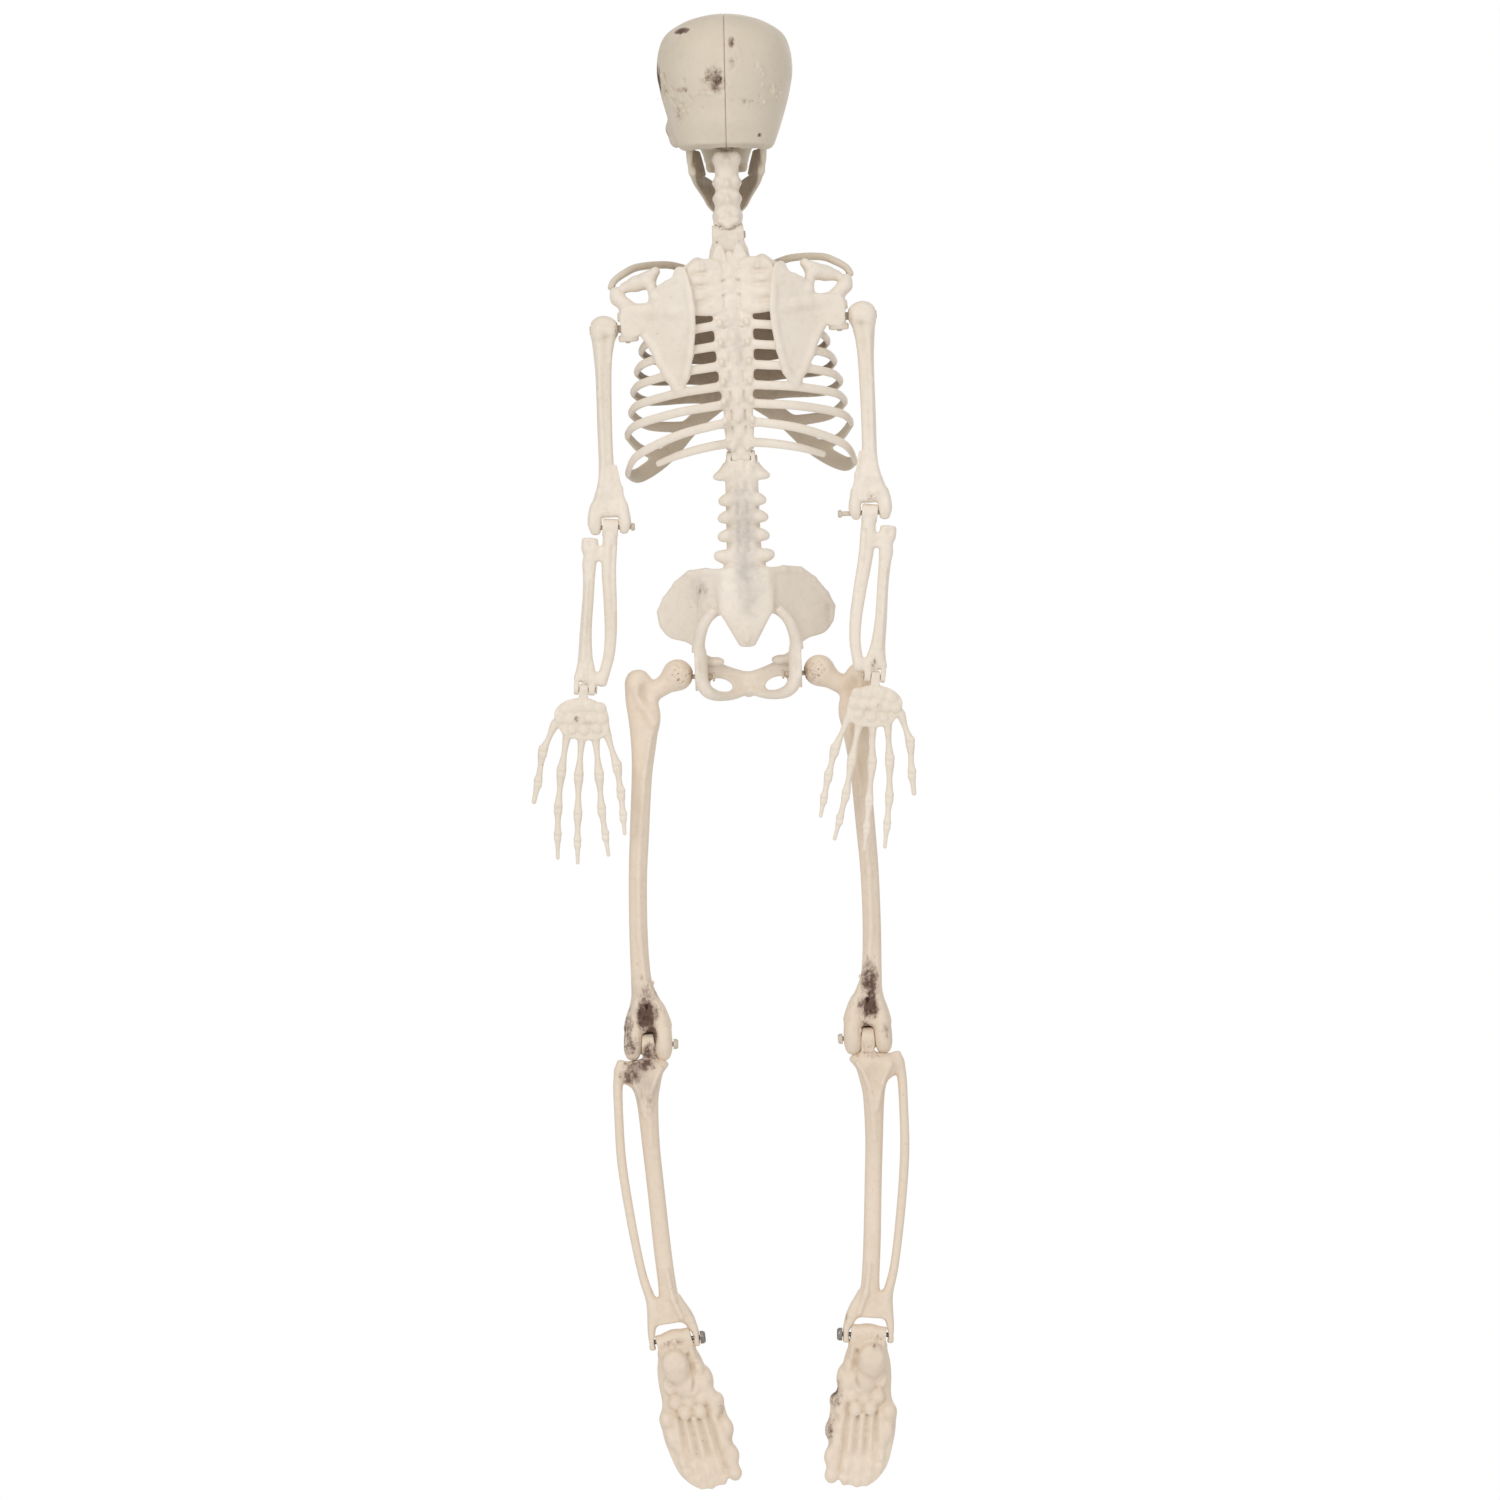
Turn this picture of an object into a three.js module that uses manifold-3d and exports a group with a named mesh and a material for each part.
// A hanging plastic skeleton figure, 0.9 m tall, seen from behind at azimuth 0.
// Millimetres. +Z up, +Y the way the face looks, origin at the hanging hole in the crown.
import * as THREE from 'three';
import { mergeVertices } from 'three/addons/utils/BufferGeometryUtils.js';
import Module from 'manifold-3d';

const wasm = await Module();
wasm.setup();

// ---------------------------------------------------------------- driving dimensions
const GAP = 0.35; // between pieces that touch
const SPINE_Y = -8; // the spine lies behind the middle of the head
const PIN_R = 1.5;
const HOLE_R = 2.0;
const SKULL_HEIGHT = 84;
const JAW_HINGE = { x: 22.5, y: 4, z: -76 };
const NECK_JOINT_Z = -136.5;
const WAIST_DROP = 138.5; // from the neck joint
const SHOULDER = { x: 65.2, z: -54.4 };
const ARM_OFFSET = 14.3; // from the upright shoulder pin out to the middle of the arm
const UPPER_ARM = 121.7;
const WRIST = { x: 11.6, z: -100.4 }; // from the elbow
const HIP = { x: 32.4, y: 3, z: -132.8 }; // from the waist, y in the head's frame
const KNEE = { x: 29.5, z: -227 }; // from the hip peg
const ANKLE_DROP = 183.6;

// Hinges. A knuckle is a rounded tongue; the fork it turns in is cut a little wider.
const NECK_KNUCKLE = { half: 4, radius: 4.5 };
const NECK_FORK = { inner: 4.4, outer: 9.5, radius: 5 };
const WAIST_KNUCKLE = { half: 5.8, radius: 4.5 };
const WAIST_FORK = { inner: 5.9, outer: 8.8, radius: 5.4 };
const SHOULDER_EYE = { half: 4, radius: 3.8, slotLow: -58.6, slotHigh: -49.8 };
const ELBOW_FORK = { prongs: [[-11.8, -5.3], [5.1, 13]], radius: 7.2 };
const WRIST_FORK = { prongs: [[4.6, 8.6], [14.6, 17.6]], radius: 4.6 };
const KNEE_FORK = { half: 4.2, radius: 10.6 };
const ANKLE_FORK = { prongs: [[-12.6, -8.6], [14.6, 18.4]], radius: 4.6 };
const LOOSE_R = 2.7; // an eye that turns freely on its pin

// How the figure hangs: small sideways leans, in degrees, towards +X at the lower end.
const LEAN = {
  head: 1.2,
  trunk: 3.3,
  pelvis: 2.0,
  arm: { left: 1.75, right: 2.3 },
  forearm: { left: -2.7, right: -4.6 },
  hand: { left: -2.0, right: -3.7 },
  femur: { left: 0, right: 3.0 },
  shin: { left: 5.9, right: -0.8 },
  foot: { left: 15, right: -5 },
};

// ---------------------------------------------------------------- materials
const plastic = (color, roughness) => new THREE.MeshStandardMaterial({ color, roughness, metalness: 0 });
const boneArms = plastic(0xe6dccd, 0.55);
const boneTrunk = plastic(0xe2d7c6, 0.55);
const boneSkull = plastic(0xd5c9b9, 0.55);
const boneLegs = plastic(0xdacebb, 0.55);
const pinPlastic = plastic(0xd2c5b2, 0.45);
const anklePinMetal = new THREE.MeshStandardMaterial({ color: 0x9a948c, roughness: 0.4, metalness: 0.6 });

// ---------------------------------------------------------------- solids
const rad = THREE.MathUtils.degToRad;

function solid(source) {
  const geometry = source.clone();
  for (const name of Object.keys(geometry.attributes)) {
    if (name !== 'position') geometry.deleteAttribute(name);
  }
  const welded = mergeVertices(geometry, 1e-4);
  const vertProperties = Float32Array.from(welded.attributes.position.array);
  const triVerts = Uint32Array.from(welded.index.array);
  if (volume(vertProperties, triVerts) < 0) triVerts.reverse();
  return new wasm.Manifold(new wasm.Mesh({ numProp: 3, vertProperties, triVerts }));
}

function volume(points, triangles) {
  const [a, b, c] = [new THREE.Vector3(), new THREE.Vector3(), new THREE.Vector3()];
  let total = 0;
  for (let i = 0; i < triangles.length; i += 3) {
    a.fromArray(points, 3 * triangles[i]);
    b.fromArray(points, 3 * triangles[i + 1]);
    c.fromArray(points, 3 * triangles[i + 2]);
    total += a.dot(b.cross(c)) / 6;
  }
  return total;
}

// One body: everything in added is joined, then everything in removed is cut away.
function build(added, removed = []) {
  let body = solid(added[0]);
  for (const piece of added.slice(1)) body = body.add(solid(piece));
  for (const piece of removed) body = body.subtract(solid(piece));
  return body;
}

function geometryOf(body) {
  const mesh = body.getMesh();
  const geometry = new THREE.BufferGeometry();
  geometry.setAttribute('position', new THREE.BufferAttribute(Float32Array.from(mesh.vertProperties), 3));
  geometry.setIndex(new THREE.BufferAttribute(Uint32Array.from(mesh.triVerts), 1));
  return geometry;
}

function mirrored(geometry) {
  const copy = geometry.clone().scale(-1, 1, 1);
  if (copy.index) copy.index.array.reverse();
  return copy;
}

const bothSides = (geometries) => geometries.flatMap((g) => [g, mirrored(g)]);

function piece(name, geometry, material, side = 'right') {
  const mesh = new THREE.Mesh(side === 'left' ? mirrored(geometry) : geometry, material);
  mesh.name = name;
  return mesh;
}

function ball(x, y, z, rx, ry = rx, rz = rx, round = 10) {
  const sphere = new THREE.SphereGeometry(1, round, Math.round(round * 0.6));
  return sphere.rotateX(Math.PI / 2).scale(rx, ry, rz).translate(x, y, z);
}

function box(x0, x1, y0, y1, z0, z1) {
  const block = new THREE.BoxGeometry(x1 - x0, y1 - y0, z1 - z0);
  return block.translate((x0 + x1) / 2, (y0 + y1) / 2, (z0 + z1) / 2);
}

// A bar along X, used for pins, holes and knuckles.
function bar(x0, x1, radius, y = 0, z = 0, round = 12) {
  const turned = new THREE.CylinderGeometry(radius, radius, x1 - x0, round);
  return turned.rotateZ(Math.PI / 2).translate((x0 + x1) / 2, y, z);
}

function upright(z0, z1, radius, x = 0, y = 0, round = 12) {
  const turned = new THREE.CylinderGeometry(radius, radius, z1 - z0, round);
  return turned.rotateX(Math.PI / 2).translate(x, y, (z0 + z1) / 2);
}

// A push pin along X from x0 to x1, with a domed head before x0.
function headedPin(x0, x1, radius, headRadius, headLength) {
  const inwards = Math.sign(x1 - x0);
  const profile = [
    [0, -headLength], [headRadius * 0.7, -headLength * 0.85], [headRadius, -headLength * 0.4],
    [headRadius, 0], [radius, 0], [radius, Math.abs(x1 - x0)], [0, Math.abs(x1 - x0)],
  ];
  const turned = new THREE.LatheGeometry(profile.map(([r, l]) => new THREE.Vector2(r, l)), 10);
  return turned.rotateZ(-inwards * Math.PI / 2).translate(x0, 0, 0);
}

// A bone: a cylinder bent along stations [x, y, z, half width, half depth]. The width lies
// across both the path and the reference direction, so it is along X on an upright bone.
// With level set, its sections stay horizontal.
function bone(stations, { round = 8, steps = 1, reference = [0, 1, 0], level = false } = {}) {
  const count = stations.length - 1;
  const path = new THREE.CatmullRomCurve3(stations.map(([x, y, z]) => new THREE.Vector3(x, y, z)));
  const swept = new THREE.CylinderGeometry(1, 1, 1, round, count * steps);
  const position = swept.attributes.position;
  const up = new THREE.Vector3(...reference);
  const [across, deep, point] = [new THREE.Vector3(), new THREE.Vector3(), new THREE.Vector3()];
  for (let i = 0; i < position.count; i++) {
    const t = THREE.MathUtils.clamp(0.5 - position.getY(i), 0, 1);
    const tangent = level ? new THREE.Vector3(0, 0, -1) : path.getTangent(t);
    across.crossVectors(tangent, up).normalize();
    deep.crossVectors(across, tangent).normalize();
    const station = Math.min(Math.floor(t * count), count - 1);
    const share = t * count - station;
    const size = (k) => THREE.MathUtils.lerp(stations[station][k], stations[station + 1][k], share);
    path.getPoint(t, point);
    point.addScaledVector(across, size(3) * position.getX(i));
    point.addScaledVector(deep, size(4) * position.getZ(i));
    position.setXYZ(i, point.x, point.y, point.z);
  }
  return swept;
}

// A flat plate: an outline of [a, b] points, thick along the third direction.
function plate(outline, thickness, bevel = 0) {
  const shape = new THREE.Shape(outline.map(([a, b]) => new THREE.Vector2(a, b)));
  const plateShape = new THREE.ExtrudeGeometry(shape, { depth: thickness, bevelEnabled: bevel > 0,
    bevelThickness: bevel, bevelSize: bevel, bevelOffset: -bevel, bevelSegments: 1 });
  return plateShape.translate(0, 0, -thickness / 2);
}

// A plate in the XZ plane.
const plateUpright = (outline, thickness) => plate(outline, thickness).rotateX(Math.PI / 2);

// ---------------------------------------------------------------- head
function skullHalves() {
  const outer = bone([
    [0, -8, 0, 3, 3], [0, -7, -2, 15, 19], [0, -6, -6, 26, 32], [0, -5, -13, 36.4, 42],
    [0, -4.5, -23, 41, 48], [0, -4, -36, 41.8, 51], [0, -5, -48, 40.5, 50], [0, -8, -60, 37, 44],
    [0, -14, -70, 35, 36], [0, -18, -78, 32.5, 27], [0, -19, -SKULL_HEIGHT, 28, 23],
  ], { round: 20, level: true });
  const inner = bone([
    [0, -8, -3.5, 8, 10], [0, -7, -8, 24, 30], [0, -6, -14, 33.5, 40], [0, -6, -24, 38.5, 44],
    [0, -9, -36, 39.3, 43.5], [0, -15, -48, 38, 37.5], [0, -18, -60, 34.5, 31.5],
    [0, -21, -70, 32, 26.5], [0, -21, -78, 29, 21.5], [0, -20, -81.5, 26, 19],
  ], { round: 10, level: true });
  const face = bone([
    [0, 33, -42, 27, 11], [0, 35, -60, 25, 14], [0, 34, -75, 19, 15], [0, 34, -88, 17, 15.5],
    [0, 35, -96, 15, 14],
  ], { round: 10, level: true });
  const added = [outer, face];
  const removed = [inner, upright(-12, 6, 1.6), upright(-90, -76, 3.6, 0, SPINE_Y)];
  for (const side of [-1, 1]) {
    added.push(
      ball(side * 17, 38, -46, 17, 7.5, 6),
      ball(side * 30, 28, -69, 7, 12, 6.5),
      bone([[side * 33, 22, -68, 2.4, 3.2], [side * 36, 10, -68, 2, 2.8], [side * 33, -6, -67, 2.4, 3.6]],
        { round: 7, reference: [0, 0, 1] }),
      box(side > 0 ? 14 : -19.2, side > 0 ? 19.2 : -14, -4, 9, JAW_HINGE.z - 4, -64),
    );
    removed.push(
      ball(side * 16.5, 45, -57, 11.5, 17, 10.5, 16),
      ball(side * 3.2, 51, -75, 3.6, 9, 7.5, 10),
      bar(side * 13, side * 22, HOLE_R, JAW_HINGE.y, JAW_HINGE.z, 10),
      jawSlot(side),
    );
  }
  const skull = build(added, removed);
  const half = (side) => geometryOf(skull.intersect(
    solid(box(side < 0 ? -60 : GAP / 2, side < 0 ? -GAP / 2 : 60, -80, 80, -120, 10))));
  return { left: half(-1), right: half(1) };
}

// The room beside each lug, up through the skull's floor, where the jaw's ramus swings.
function jawSlot(side) {
  const [inner, outer] = [side * 19.4, side * 28];
  return box(Math.min(inner, outer), Math.max(inner, outer), -6, 26, -90, -69);
}

function jawShape() {
  const added = [];
  const removed = [];
  for (const side of [-1, 1]) {
    const x = side * JAW_HINGE.x;
    added.push(
      bone([
        [x, 4, -71.5, 1.8, 3], [x, 4, -76, 2.6, 4.5], [x, 4.5, -83, 2.3, 6.5],
        [x * 1.01, 6, -92, 2.5, 8], [x, 8, -98, 3, 8],
      ]),
      bone([
        [x, 5, -99, 2.8, 5], [x * 0.93, 16, -104, 3, 7], [x * 0.72, 31, -109, 3.4, 8.2],
        [x * 0.42, 42, -112, 3.8, 9], [0, 46.5, -112.6, 4, 9.4],
      ], { reference: [0, 0, 1] }),
    );
    removed.push(bar(x - 4, x + 4, HOLE_R, JAW_HINGE.y, JAW_HINGE.z, 10));
  }
  added.push(ball(0, 49, -118, 9, 4, 4.5, 10));
  return geometryOf(build(added, removed));
}

const jawPin = headedPin(JAW_HINGE.x + 3.2, 15, PIN_R, 2.6, 1.4).translate(0, JAW_HINGE.y, JAW_HINGE.z);

// A headed peg: its flange turns inside the skull and its shank is glued in the neck.
function swivelPeg() {
  const top = -SKULL_HEIGHT + 6;
  const profile = [[0, -9], [2.9, -9], [2.9, 4.2], [5.2, 4.4], [5.2, 6], [3.5, 7], [0, 7]];
  const turned = new THREE.LatheGeometry(profile.map(([r, l]) => new THREE.Vector2(r, l)), 16);
  return turned.rotateX(Math.PI / 2).translate(0, SPINE_Y, top - 6);
}

function neckShape() {
  const top = -SKULL_HEIGHT - 0.6;
  const { half, radius } = NECK_KNUCKLE;
  const added = [
    bone([
      [0, SPINE_Y, top, 4.6, 5], [0, SPINE_Y, top - 3, 8, 7.5], [0, SPINE_Y, top - 14, 7.2, 7],
      [0, SPINE_Y, top - 24, 7.2, 7], [0, SPINE_Y, top - 36, 7.8, 7.5], [0, SPINE_Y, top - 40, 7.4, 7],
      [0, SPINE_Y, top - 44.5, 4.5, 6],
    ], { round: 8, level: true }),
    box(-half, half, SPINE_Y - radius, SPINE_Y + radius, NECK_JOINT_Z, top - 30),
    bar(-half, half, radius, SPINE_Y, NECK_JOINT_Z, 12),
  ];
  for (const drop of [6, 18.5, 28, 37]) added.push(ball(0, SPINE_Y, top - drop, 9.1, 8.4, 4.6, 8));
  return geometryOf(build(added, [
    upright(top - 9.2, top + 2, 3.3, 0, SPINE_Y, 12),
    bar(-12, 12, HOLE_R, SPINE_Y, NECK_JOINT_Z, 10),
    ...bothSides([box(half, 20, -30, 20, NECK_JOINT_Z - 9, NECK_JOINT_Z + 7.5)]),
  ]));
}

// ---------------------------------------------------------------- trunk
// The trunk's own frame: z from the neck joint, x from the spine, y as in the head's frame.
const SHOULDER_Y = -17;
const WAIST_Y = -13;
const SEAM_Y = 5; // where the back and front halves of the ribcage meet
// Each rib: height at the spine, drop and half width where it crosses the side seam.
const RIBS = [
  [-19, 9, 33], [-27.5, 10, 42], [-36.5, 10, 49], [-45.5, 11, 54], [-57, 11, 58], [-69.5, 11, 61.5],
  [-82, 11, 64.5], [-94.5, 11, 66.5], [-106, 13, 69.5], [-117.7, 25, 70.5],
];
const STERNUM_TIES = [-27, -36, -46, -57, -69, -82, -93];
const bladeY = (x) => -37 + (x - 26) * 0.53; // the shoulder blades slant forwards to the side

function bladePlate(outline, thickness) {
  const flat = plate(outline, thickness);
  const position = flat.attributes.position;
  for (let i = 0; i < position.count; i++) {
    const [x, z, depth] = [position.getX(i), position.getY(i), position.getZ(i)];
    position.setXYZ(i, x, bladeY(x) + depth, z);
  }
  return flat;
}

function backRib([z, drop, half]) {
  const side = SEAM_Y - GAP / 2;
  return bone([
    [4, -20, z + 1, 2, 4], [16, -31, z, 1.7, 4], [half * 0.55, -31.5, z - drop * 0.2, 1.5, 3.4],
    [half * 0.9, -16, z - drop * 0.6, 1.5, 3], [half, side, z - drop, 1.5, 2.7],
  ], { round: 5, reference: [0, 0, 1] });
}

function ribcageBack() {
  const spine = bone([
    [0, -8, 5, 8.5, 5], [0, -9, -4, 9.5, 6.5], [0, -13, -15, 9.5, 7], [0, -20, -40, 8.5, 7],
    [0, -24, -70, 8, 7], [0, -22, -100, 8, 7], [0, -16, -124, 8, 6.5], [0, WAIST_Y, -131, 8, 6],
  ], { round: 8, level: true });
  const floating = bone([
    [4, -19, -129, 1.8, 3], [18, -28, -130.5, 1.5, 2.8], [36, -26, -133.5, 1.4, 2.6],
    [52, -14, -138.5, 1.2, 1.8],
  ], { round: 5, reference: [0, 0, 1] });
  const blade = bladePlate([
    [27, -26], [25.5, -45], [26.5, -67], [35.5, -97], [39, -97], [57, -67], [61, -61], [64, -60],
    [64, -44], [59, -42.5], [52, -41], [46, -33], [40, -28], [33, -25],
  ], 3);
  const bladeSpine = bone([
    [28, bladeY(28) - 2, -46, 2, 2], [46, bladeY(46) - 4, -41, 2.2, 2.6],
    [60, bladeY(60) - 4, -39, 2.2, 3], [70, SHOULDER_Y + 1, -32, 2.6, 3],
  ], { reference: [0, 0, 1] });
  const coracoid = bone([
    [43, bladeY(43), -32, 2.2, 2.4], [48, bladeY(48) + 2, -24, 1.8, 2], [57, -14, -20.5, 1.8, 2.2],
    [66, -9, -21, 1.6, 2],
  ]);
  const boss = upright(-62, -45, 5.2, SHOULDER.x, SHOULDER_Y, 12);
  const slot = box(SHOULDER.x - 4.4, SHOULDER.x + 8, SHOULDER_Y - 8, SHOULDER_Y + 8,
    SHOULDER_EYE.slotLow, SHOULDER_EYE.slotHigh);
  const pinHole = upright(-70, -45.9, HOLE_R, SHOULDER.x, SHOULDER_Y, 10);
  const { inner, outer, radius } = NECK_FORK;
  const ears = [
    box(inner, outer, SPINE_Y - radius, SPINE_Y + radius, -2, 3), bar(inner, outer, radius, SPINE_Y, 0, 14)];
  const waist = WAIST_KNUCKLE;
  const added = [spine, ...bothSides([
    ...RIBS.map(backRib), floating, blade, bladeSpine, coracoid, boss, ...ears,
  ]), box(-waist.half, waist.half, WAIST_Y - waist.radius, WAIST_Y + waist.radius, -WAIST_DROP, -128),
  bar(-waist.half, waist.half, waist.radius, WAIST_Y, -WAIST_DROP, 14)];
  return geometryOf(build(added, [
    ...bothSides([slot, pinHole, box(waist.half, 20, -40, 20, -WAIST_DROP - 8, -WAIST_DROP + 7.6)]),
    box(-inner, inner, -30, 20, -6.5, 10),
    bar(-12, 12, HOLE_R, SPINE_Y, 0, 10),
    bar(-12, 12, HOLE_R, WAIST_Y, -WAIST_DROP, 10),
    box(-90, 90, SEAM_Y - GAP / 2, 40, -160, -22),
  ]));
}

function frontRib([z, drop, half], tie) {
  const side = SEAM_Y + GAP / 2;
  const low = z - drop - 5;
  return bone([
    [half, side, z - drop, 1.5, 2.7], [half * 0.86, 24, low, 1.5, 2.8],
    [half * 0.5, 38, (low + tie) / 2, 1.6, 2.8], [5, 42, tie, 1.8, 2.8],
  ], { round: 5, reference: [0, 0, 1] });
}

function ribcageFront() {
  const side = SEAM_Y + GAP / 2;
  const tube = { round: 5, reference: [0, 0, 1] };
  const upper = STERNUM_TIES.map((tie, i) => frontRib(RIBS[i], tie));
  const [eighth, ninth, tenth] = RIBS.slice(7);
  const arch = bone([
    [4, 42, -97, 1.8, 3.4], [27, 38, -112, 1.7, 3.4], [46, 30, -133, 1.6, 3.4],
    [63, 19, -145, 1.5, 3.2], [tenth[2], side, tenth[0] - tenth[1], 1.5, 2.7],
  ], tube);
  const lower = [
    bone([[eighth[2], side, -105.5, 1.5, 2.7], [56, 24, -113, 1.5, 2.7], [31, 36, -115, 1.6, 2.8]], tube),
    bone([[ninth[2], side, -119, 1.5, 2.7], [61, 20, -128, 1.5, 2.7], [47, 29, -132, 1.6, 2.8]], tube),
  ];
  const clavicle = bone([
    [5, 39, -22, 3, 3.2], [22, 33, -18, 2.2, 2.3], [38, 20, -13, 2.1, 2.2], [56, 5, -14, 2.1, 2.2],
    [72, -7, -24, 2.4, 2.4],
  ], { round: 7, reference: [0, 0, 1] });
  const sternum = bone([
    [0, 41, -19, 9, 3], [0, 41.5, -29, 8, 3.2], [0, 42.5, -37, 5, 3], [0, 43, -60, 6.2, 3],
    [0, 43, -90, 7, 3], [0, 42, -99, 4.5, 2.6], [0, 40.5, -108, 1.6, 1.6],
  ], { round: 8, level: true });
  const cage = build(
    [sternum, ...bothSides([...upper, arch, ...lower])], [box(-90, 90, -20, side, -160, 0)]);
  return geometryOf(bothSides([clavicle]).reduce((body, bar) => body.add(solid(bar)), cage));
}

// One pin for each hinge between two pieces of the spine.
const neckPin = headedPin(9.9, -9.5, PIN_R, 2.3, 1);
const waistPin = headedPin(9.2, -8.8, PIN_R, 2.3, 1);

// The link's flat eye turns on an upright pin, and its peg carries the upper arm.
function shoulderLink() {
  const reach = ARM_OFFSET + 9;
  const profile = [[0, 0], [2.4, 0], [2.4, reach - 2], [3.4, reach - 1.6], [2, reach], [0, reach]];
  const peg = new THREE.LatheGeometry(profile.map(([r, l]) => new THREE.Vector2(r, l)), 10);
  return geometryOf(build(
    [upright(-SHOULDER_EYE.half, SHOULDER_EYE.half, SHOULDER_EYE.radius), peg.rotateZ(-Math.PI / 2)],
    [upright(-6, 6, HOLE_R)],
  ));
}
const shoulderPin = upright(-66 - SHOULDER.z, -46.3 - SHOULDER.z, PIN_R, 0, 0, 10);

// ---------------------------------------------------------------- arms
// Each limb piece is modelled for the right side, +X outwards, from its upper joint.
function humerusShape() {
  const elbow = -UPPER_ARM;
  const fork = { round: 8 };
  const added = [
    ball(0, 0, 1, 8.6, 8, 7.6, 10),
    bone([
      [0.5, 0, -2, 7, 7], [1, 0, -12, 5.8, 5.6], [1, 0.5, -26, 4.9, 4.7], [1.2, 0.5, -60, 4.7, 4.5],
      [1, 0, -88, 4.9, 4.6], [0.8, 0, -100, 7.6, 4.8], [0.5, 0, -108, 10.4, 5], [0.3, 0, -111, 11, 4.8],
    ], fork),
  ];
  for (const [x0, x1] of ELBOW_FORK.prongs) {
    const middle = (x0 + x1) / 2;
    added.push(
      bone([[middle, 0, -106, 3.6, 4.8], [middle, 0, elbow, (x1 - x0) / 2, 4.6]], { round: 7 }),
      bar(x0, x1, 4.6, 0, elbow, 10),
    );
  }
  const [[, inner], [outer]] = ELBOW_FORK.prongs;
  return geometryOf(build(added, [
    bar(-16, 7, 3, 0, 0, 10), bar(6, 14, 4, 0, 0, 10),
    bar(inner, outer, ELBOW_FORK.radius, 0, elbow, 12),
    box(inner, outer, -8, 8, elbow - 9, elbow),
    bar(-20, 20, HOLE_R, 0, elbow, 10),
  ]));
}

function forearmShape() {
  const ulna = bone([
    [0, 0, 0, 3.6, 4.6], [-0.2, 0, -8, 4.6, 5], [-0.4, 0, -26, 4.6, 4], [-2.4, 0, -46, 4.3, 3.6],
    [-3.4, 0, -64, 4, 3.2], [-3, 0, -78, 3.6, 3], [-1, 0, -89, 3.6, 3.2], [1, 0, -97, 3.4, 3.2],
  ]);
  const radius = bone([
    [12, 0, -8.6, 5, 4], [12, 0, -15, 5, 4.2], [11.6, 0, -27, 4, 3.6], [11.4, 0, -44, 3.7, 3.3],
    [12, 0, -64, 3.8, 3.3], [11.4, 0, -80, 4.6, 3.4], [11, 0, -88, 6, 3.6], [11, 0, -94, 6.6, 3.8],
  ]);
  const bridge = box(0, 14, -3, 3, -22, -11);
  const wristBridge = bone([[0, 0, -93, 3, 4], [12, 0, -93, 3, 4]], { reference: [0, 0, 1] });
  const added = [bar(-4.1, 3.9, 5.4, 0, 0, 12), ulna, radius, bridge, wristBridge];
  for (const [x0, x1] of WRIST_FORK.prongs) {
    added.push(box(x0, x1, -3.4, 3.4, WRIST.z, -92), bar(x0, x1, 3.4, 0, WRIST.z, 10));
  }
  const [[, inner], [outer]] = WRIST_FORK.prongs;
  return geometryOf(build(added, [
    bar(-20, 20, LOOSE_R, 0, 0, 10),
    bar(inner, outer, WRIST_FORK.radius, 0, WRIST.z, 10),
    box(inner, outer, -6, 6, WRIST.z - 6, WRIST.z),
    bar(0, 30, HOLE_R, 0, WRIST.z, 10),
  ]));
}

// Knuckle places of each finger from the wrist, thumb first: x, z pairs.
const FINGERS = [
  [[13, -15], [17, -22], [23.8, -39], [26.1, -58], [28.3, -70.5]],
  [[7, -15], [9.1, -27.5], [12, -51], [13.2, -73.6], [12.4, -104.5]],
  [[0, -15], [0.1, -28.5], [1.2, -53.5], [0.9, -77], [0, -107]],
  [[-7, -15], [-8.2, -28.5], [-11.3, -52.5], [-13.6, -73.5], [-18.8, -101.5]],
  [[-11, -14], [-14.7, -25], [-22.2, -46.7], [-25.1, -62.8], [-28.3, -88]],
];

function handShape() {
  const added = [
    bar(-2.6, 2.6, 3.6, 0, 0, 10), box(-2.6, 2.6, -3, 3, -9, 0),
    plateUpright([[-4, -6], [5, -6], [15, -9], [18, -16], [14, -25], [10, -29], [-9, -30], [-15, -27],
      [-15.5, -13], [-11, -8]], 5),
  ];
  FINGERS.forEach((knuckles) => {
    const stations = [];
    knuckles.forEach(([x, z], i) => {
      const thick = 2.5 - 0.2 * i;
      const curl = 0.0012 * z * z * 0.25;
      stations.push([x, curl, z, thick, thick]);
      const next = knuckles[i + 1];
      if (next) stations.push([(x + next[0]) / 2, curl + 0.3, (z + next[1]) / 2, 1.6, 1.6]);
    });
    stations.at(-1)[3] = 1;
    stations.at(-1)[4] = 1;
    added.push(bone(stations, { round: 5 }));
  });
  return geometryOf(build(added, [bar(-6, 6, HOLE_R, 0, 0, 12)]));
}

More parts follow.
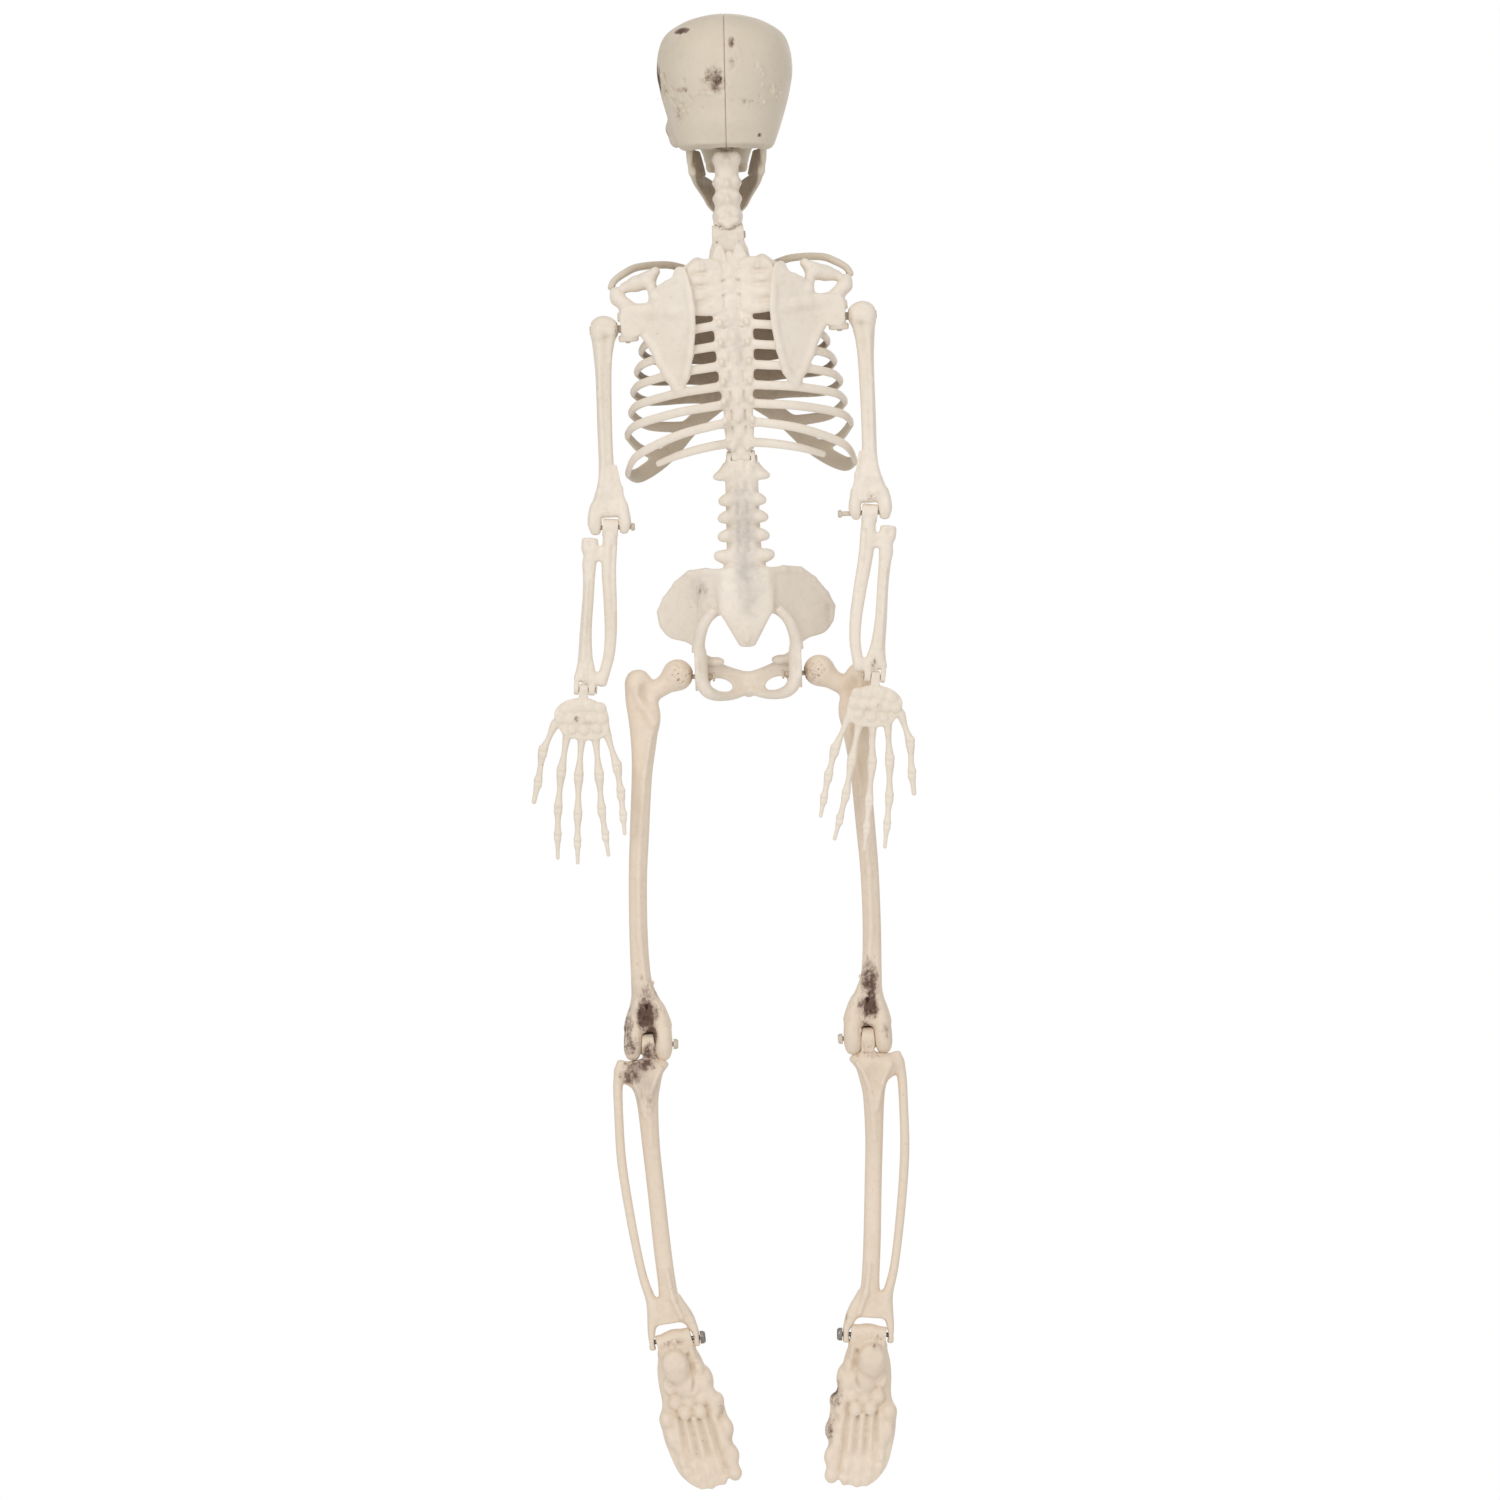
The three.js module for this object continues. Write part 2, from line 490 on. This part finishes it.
// ---------------------------------------------------------------- hips
function pelvisShape() {
  const column = bone([
    [0, WAIST_Y, 1, 8.8, 5], [0, WAIST_Y + 1, -10, 9.3, 6.5], [0, WAIST_Y + 3, -35, 9, 7],
    [0, WAIST_Y + 2, -58, 9.5, 7], [0, WAIST_Y - 3, -72, 11, 7], [0, WAIST_Y - 11, -92, 10, 4],
    [0, WAIST_Y - 11, -106, 6.5, 3], [0, WAIST_Y - 6, -117, 2, 2],
  ], { round: 8, level: true });
  const slotHalf = WAIST_KNUCKLE.half + 0.4;
  const removed = [
    bar(-slotHalf, slotHalf, 7.2, WAIST_Y, 0, 12), box(-slotHalf, slotHalf, -40, 20, 0, 9),
    bar(-12, 12, HOLE_R, WAIST_Y, 0, 10),
  ];
  const ears = [bar(WAIST_FORK.inner, WAIST_FORK.outer, WAIST_FORK.radius, WAIST_Y, 0, 14)];
  const tips = [[-10.5, 17.3], [-25.4, 14.8], [-36, 15.4], [-47, 15.8], [-60, 18.5]].map(([z, x]) => bone(
    [[4, WAIST_Y, z + 1, 3, 4], [x - 3, WAIST_Y - 1, z, 2, 3], [x, WAIST_Y - 1, z, 1, 1.4]],
    { round: 5, reference: [0, 0, 1] }));
  const wing = bone([
    [12, -19, -78, 4, 9], [24, -14, -80, 2.6, 14], [36, -4, -84, 2.2, 17.5], [47, 8, -90, 2.2, 17],
    [53, 14, -94, 2, 11], [55, 16, -95, 1, 4],
  ], { round: 7, reference: [0, 0, 1] });
  const sacral = bone([[4, -21, -76, 5, 9], [15, -20, -84, 4, 14]], { reference: [0, 0, 1] });
  const ischium = bone([
    [34, -6, -100, 3, 8], [31, -4, -112, 4.5, 8], [30, -2, -126, 4.4, 7.5], [29.5, -5, -138, 4, 5.5],
    [24, -4, -146, 3.4, 4],
  ]);
  const rearEdge = bone([[19, -19, -92, 3.5, 3], [27, -14, -104, 3, 3], [29, -7, -116, 3, 4]]);
  const pubis = bone([
    [29, 4, -121, 3.2, 4], [16, 17, -129, 2.6, 3], [0, 22, -134, 3, 3.6],
  ], { reference: [0, 0, 1] });
  const ramus = bone([
    [25, -4, -146, 3.2, 3.2], [14, 10, -148, 2.6, 2.6], [0, 20, -143, 3, 3.6],
  ], { reference: [0, 0, 1] });
  const symphysis = ball(0, 21.5, -139, 4, 3.4, 8);
  const socket = ball(33.5, HIP.y, HIP.z, 5.5, 8.5, 8.5, 10);
  const added = [column, symphysis, ...bothSides([
    ...ears, ...tips, wing, sacral, ischium, rearEdge, pubis, ramus, socket,
  ])];
  removed.push(...bothSides([
    bar(20, 50, HOLE_R, HIP.y, HIP.z, 10), box(HIP.x + 0.6, 60, -14, 18, -160, -118),
  ]));
  return geometryOf(build(added, removed));
}

// A peg along the hip's axis: its inner end is held in the pelvis, the thigh turns on it.
const hipPeg = headedPin(22, HIP.x + 13, PIN_R, 3, 1.5).translate(-HIP.x, 0, 0);

// ---------------------------------------------------------------- legs
function femurShape() {
  const { x, z: knee } = KNEE;
  const { half, radius } = KNEE_FORK;
  const added = [
    ball(10.2, 0, 0, 8.8, 8.8, 8.8, 12),
    bone([[10, 0, 0, 6.5, 6.5], [22, 0, -5, 6, 6], [34, 0, -10, 8, 7]], { reference: [0, 0, 1] }),
    bone([
      [36, -1, 0, 5, 6], [35.5, -0.5, -8, 8, 7.4], [32.5, 0, -18, 9.4, 7], [31.5, 0, -30, 9.3, 6.5],
      [31, 1, -47, 7.2, 6], [33, 2, -66, 5.6, 5.6], [35, 3.5, -98, 5.8, 5.6], [36, 4, -125, 5.8, 5.6],
      [35.5, 3, -159, 5.7, 5.6], [33.8, 1, -186, 6.2, 5.6], [32, 0, -203, 8.5, 6.4],
      [30, 0, -213, 12.2, 7.6],
    ], { round: 7 }),
  ];
  for (const centre of [x - 9.4, x + 9.6]) {
    added.push(bone([
      [centre, 0, -208, 4.4, 7], [centre, -0.5, -220, 5.4, 8.6], [centre, -0.5, knee, 5.4, 8.6],
      [centre, -0.5, knee - 7.5, 3.4, 5],
    ], { round: 7 }));
  }
  return geometryOf(build(added, [
    bar(-4, 14.5, HOLE_R, 0, 0, 10),
    bar(x - half, x + half, radius, 0, knee, 14), box(x - half, x + half, -20, 20, knee - 16, knee),
    bar(0, 60, HOLE_R, 0, knee, 10),
  ]));
}

function shinShape() {
  const tibia = bone([
    [5.5, 0, -10.4, 12, 5.4], [5.5, 0, -13.4, 16.5, 8.2], [5, 0, -18, 15, 8.4], [3.8, 0, -26, 9, 7],
    [4.2, 0, -37, 6.6, 6], [4.8, 1, -62, 5.4, 5.4], [4.6, 1, -90, 5.2, 5.2], [4.4, 0.6, -125, 5.4, 5],
    [3.6, 0, -152, 5.6, 5], [3.4, 0, -166, 10.4, 5], [3, 0, -172, 12.6, 5],
  ], { round: 7 });
  const fibula = bone([
    [19, -1, -12, 2.4, 3.4], [21, -1, -22, 3, 3.6], [22.5, -1, -40, 2.8, 3], [23.8, -1, -70, 3, 3],
    [22, -1, -105, 2.8, 3], [18.5, 0, -140, 2.6, 3], [14.5, 0, -158, 3, 4], [11, 0, -168, 4, 4.6],
  ], { round: 7 });
  const added = [tibia, fibula, bar(-3.6, 3.6, 6, 0, 0, 12), box(-3.6, 3.6, -4.5, 4.5, -12, 0)];
  const { prongs, radius } = ANKLE_FORK;
  for (const [x0, x1] of prongs) {
    added.push(
      box(x0, x1, -radius, radius, -ANKLE_DROP, -169), bar(x0, x1, radius, 0, -ANKLE_DROP, 10),
    );
  }
  const [[, inner], [outer]] = prongs;
  return geometryOf(build(added, [
    bar(-20, 20, LOOSE_R, 0, 0, 10), bar(-30, 30, HOLE_R, 0, -ANKLE_DROP, 10),
    box(inner, outer, -12, 12, -196, -175),
  ]));
}

// The foot hangs with its toes down, so its sole faces the back.
function footShape() {
  const added = [
    bar(-6.6, 12.4, 5.6, 0, 0, 12),
    box(-5.4, 11.4, -5, 6, -14, -3),
    ball(6, -9, -19, 9, 10, 15, 10),
    bone([
      [4, 2, -7, 8, 6], [4, 3, -18, 13, 9], [4, 4, -34, 14.5, 8.5], [4, 4, -50, 18.5, 6.5],
      [4, 3, -66, 19.5, 5], [4, 2.5, -75, 18, 4],
    ], { round: 10, level: true }),
  ];
  const toes = [[-11.5, -92.5, 4.6], [-3.2, -94, 3.4], [3.8, -93, 3.2], [10.6, -90, 3.1], [17, -85, 3]];
  for (const [x, z, r] of toes) {
    added.push(bone([[x * 0.85 + 0.6, 2.5, -70, r, 3], [x, 2, -80, r * 0.86, 2.6], [x, 1, z + 3, r, 3],
      [x, 0.5, z, r * 0.5, 1.6]], { round: 7 }));
  }
  return geometryOf(build(added, [bar(-20, 20, 4, 0, 0, 10)]));
}

const elbowPins = {
  left: headedPin(-13, 11.5, PIN_R, 2.4, 2.4).translate(0, 0, -UPPER_ARM),
  right: headedPin(-17.5, 7, PIN_R, 2.4, 2.4).translate(0, 0, -UPPER_ARM),
};
const wristPin = headedPin(4.2, 17, PIN_R, 2.4, 1).translate(0, 0, WRIST.z);
const kneePin = headedPin(KNEE.x - 15.6, KNEE.x + 12, PIN_R, 3.2, 3).translate(0, 0, KNEE.z);
const anklePin = headedPin(-13.2, 17, PIN_R, 4, 3.4).translate(0, 0, -ANKLE_DROP);

// ---------------------------------------------------------------- assembly
function frame(parent, [x, y, z], lean = 0) {
  const placed = new THREE.Group();
  placed.position.set(x, y, z);
  placed.rotation.y = -rad(lean);
  parent.add(placed);
  return placed;
}

const group = new THREE.Group();
const head = frame(group, [0, 0, 0], LEAN.head);
const halves = skullHalves();
head.add(piece('skull_left_half', halves.left, boneSkull));
head.add(piece('skull_right_half', halves.right, boneSkull));
head.add(piece('jaw', jawShape(), boneTrunk));
head.add(piece('jaw_pin_right', jawPin, pinPlastic));
head.add(piece('jaw_pin_left', jawPin, pinPlastic, 'left'));
head.add(piece('head_swivel_peg', swivelPeg(), pinPlastic));
head.add(piece('neck', neckShape(), boneTrunk));
const trunk = frame(head, [0, 0, NECK_JOINT_Z], LEAN.trunk - LEAN.head);
trunk.add(piece('ribcage_back', ribcageBack(), boneTrunk));
trunk.add(piece('ribcage_front', ribcageFront(), boneTrunk));
trunk.add(piece('neck_pin', neckPin.clone().translate(0, SPINE_Y, 0), pinPlastic));
trunk.add(piece('waist_pin', waistPin.clone().translate(0, WAIST_Y, -WAIST_DROP), pinPlastic));
for (const side of ['left', 'right']) {
  const out = side === 'left' ? -1 : 1;
  const shoulder = frame(trunk, [out * SHOULDER.x, SHOULDER_Y, SHOULDER.z], 0);
  shoulder.add(piece('shoulder_link_' + side, shoulderLink(), pinPlastic, side));
  trunk.add(piece('shoulder_pin_' + side, shoulderPin.clone().translate(SHOULDER.x, SHOULDER_Y, SHOULDER.z),
    pinPlastic, side));
  const arm = frame(shoulder, [out * ARM_OFFSET, 0, 0], LEAN.arm[side] - LEAN.trunk);
  arm.add(piece('humerus_' + side, humerusShape(), boneArms, side));
  arm.add(piece('elbow_pin_' + side, elbowPins[side], pinPlastic, side));
  const fore = frame(arm, [0, 0, -UPPER_ARM], LEAN.forearm[side] - LEAN.arm[side]);
  fore.add(piece('forearm_' + side, forearmShape(), boneArms, side));
  fore.add(piece('wrist_pin_' + side, wristPin, pinPlastic, side));
  const hand = frame(fore, [out * WRIST.x, 0, WRIST.z], LEAN.hand[side] - LEAN.forearm[side]);
  hand.add(piece('hand_' + side, handShape(), boneArms, side));
}
const hips = frame(trunk, [0, 0, -WAIST_DROP], LEAN.pelvis - LEAN.trunk);
hips.add(piece('pelvis', pelvisShape(), boneTrunk));
for (const side of ['left', 'right']) {
  const out = side === 'left' ? -1 : 1;
  const thigh = frame(hips, [out * HIP.x, HIP.y, HIP.z], LEAN.femur[side] * out - LEAN.pelvis);
  thigh.add(piece('femur_' + side, femurShape(), boneLegs, side));
  thigh.add(piece('hip_peg_' + side, hipPeg, pinPlastic, side));
  thigh.add(piece('knee_pin_' + side, kneePin, pinPlastic, side));
  const shin = frame(thigh, [out * KNEE.x, 0, KNEE.z], LEAN.shin[side] - LEAN.femur[side] * out);
  shin.add(piece('shin_' + side, shinShape(), boneLegs, side));
  shin.add(piece('ankle_pin_' + side, anklePin, anklePinMetal, side));
  const foot = frame(shin, [0, 0, -ANKLE_DROP], LEAN.foot[side] - LEAN.shin[side]);
  foot.add(piece('foot_' + side, footShape(), boneLegs, side));
}
export default group;
